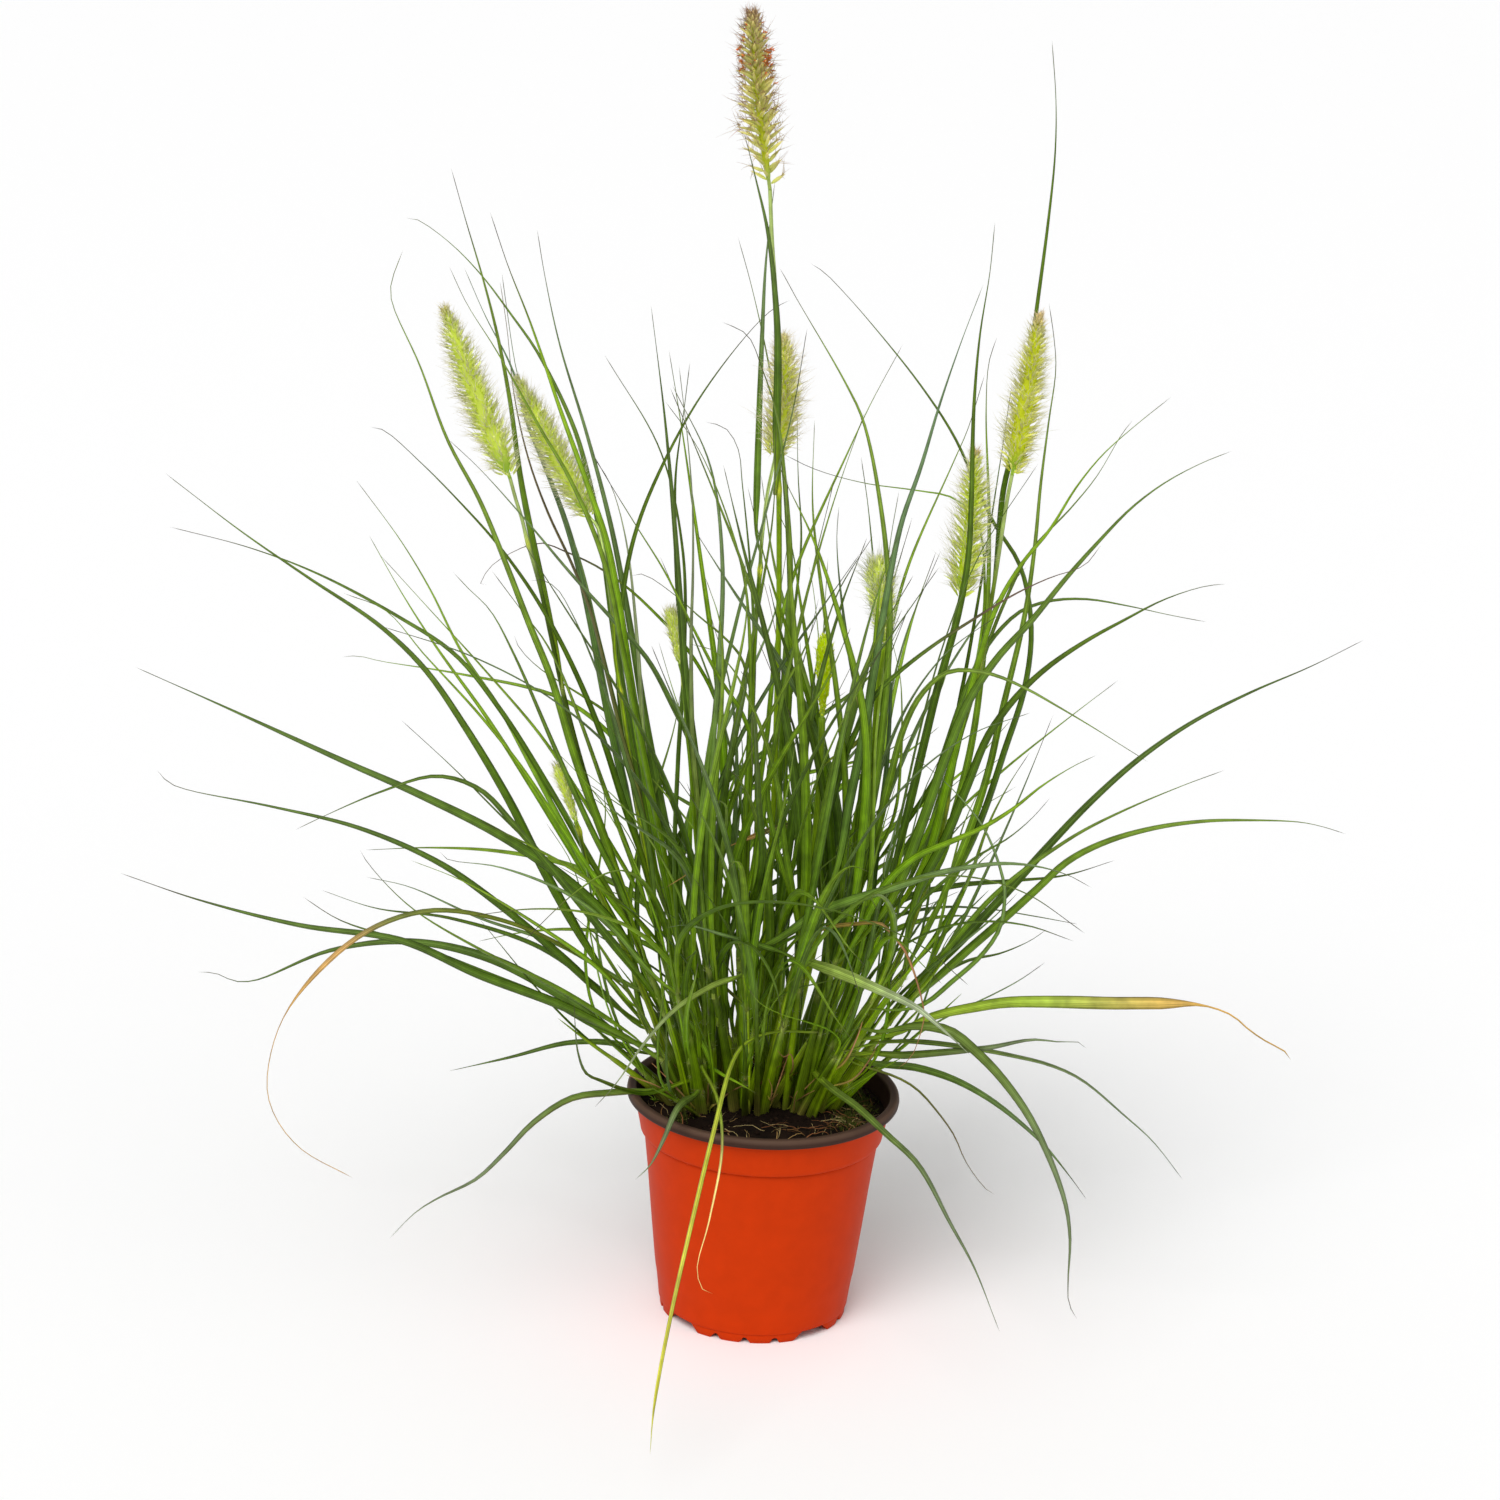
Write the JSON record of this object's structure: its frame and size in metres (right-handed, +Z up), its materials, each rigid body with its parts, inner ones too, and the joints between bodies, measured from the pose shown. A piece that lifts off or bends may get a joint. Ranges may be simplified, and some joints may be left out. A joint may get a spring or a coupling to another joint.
{
  "type": "potted fountain grass",
  "caption": "Fountain grass in a plastic nursery pot, with bottle-brush flower heads above a fan of narrow arching leaves.",
  "frame": {"origin": "centre of the pot, on the surface that it stands on", "axes": "+Z up along the pot's axis, -Y towards the front, +X to the right seen from the front"},
  "size_m": [0.7549, 0.67, 0.8127],
  "materials": {
    "pot": "satin, with a dark brown rim and inside",
    "soil": "matte, dark peat",
    "leaf": "satin, fine lengthwise veins",
    "flower": "matte, bristly"
  },
  "bodies": {
    "root": {"pot": "pot", "soil": "soil", "culm_1": "leaf", "culm_2": "leaf", "culm_3": "leaf", "culm_4": "leaf", "culm_5": "leaf", "culm_6": "leaf", "culm_7": "leaf", "culm_8": "leaf", "culm_9": "leaf", "culm_10": "leaf", "shoot_1": "leaf", "shoot_2": "leaf", "shoot_3": "leaf", "shoot_4": "leaf", "shoot_5": "leaf", "shoot_6": "leaf", "shoot_7": "leaf", "shoot_8": "leaf", "shoot_9": "leaf", "shoot_10": "leaf", "shoot_11": "leaf", "shoot_12": "leaf", "shoot_13": "leaf", "shoot_14": "leaf", "shoot_15": "leaf", "shoot_16": "leaf", "shoot_17": "leaf", "shoot_18": "leaf", "shoot_19": "leaf", "shoot_20": "leaf", "shoot_21": "leaf", "shoot_22": "leaf", "shoot_23": "leaf", "shoot_24": "leaf", "shoot_25": "leaf", "shoot_26": "leaf", "shoot_27": "leaf", "shoot_28": "leaf", "shoot_29": "leaf", "shoot_30": "leaf", "shoot_31": "leaf", "shoot_32": "leaf", "shoot_33": "leaf", "shoot_34": "leaf", "shoot_35": "leaf", "shoot_36": "leaf", "head_1": "flower", "head_2": "flower", "head_3": "flower", "head_4": "flower", "head_5": "flower", "head_6": "flower", "head_7": "flower", "head_8": "flower", "head_9": "flower", "head_10": "flower"}
  },
  "joints": []
}
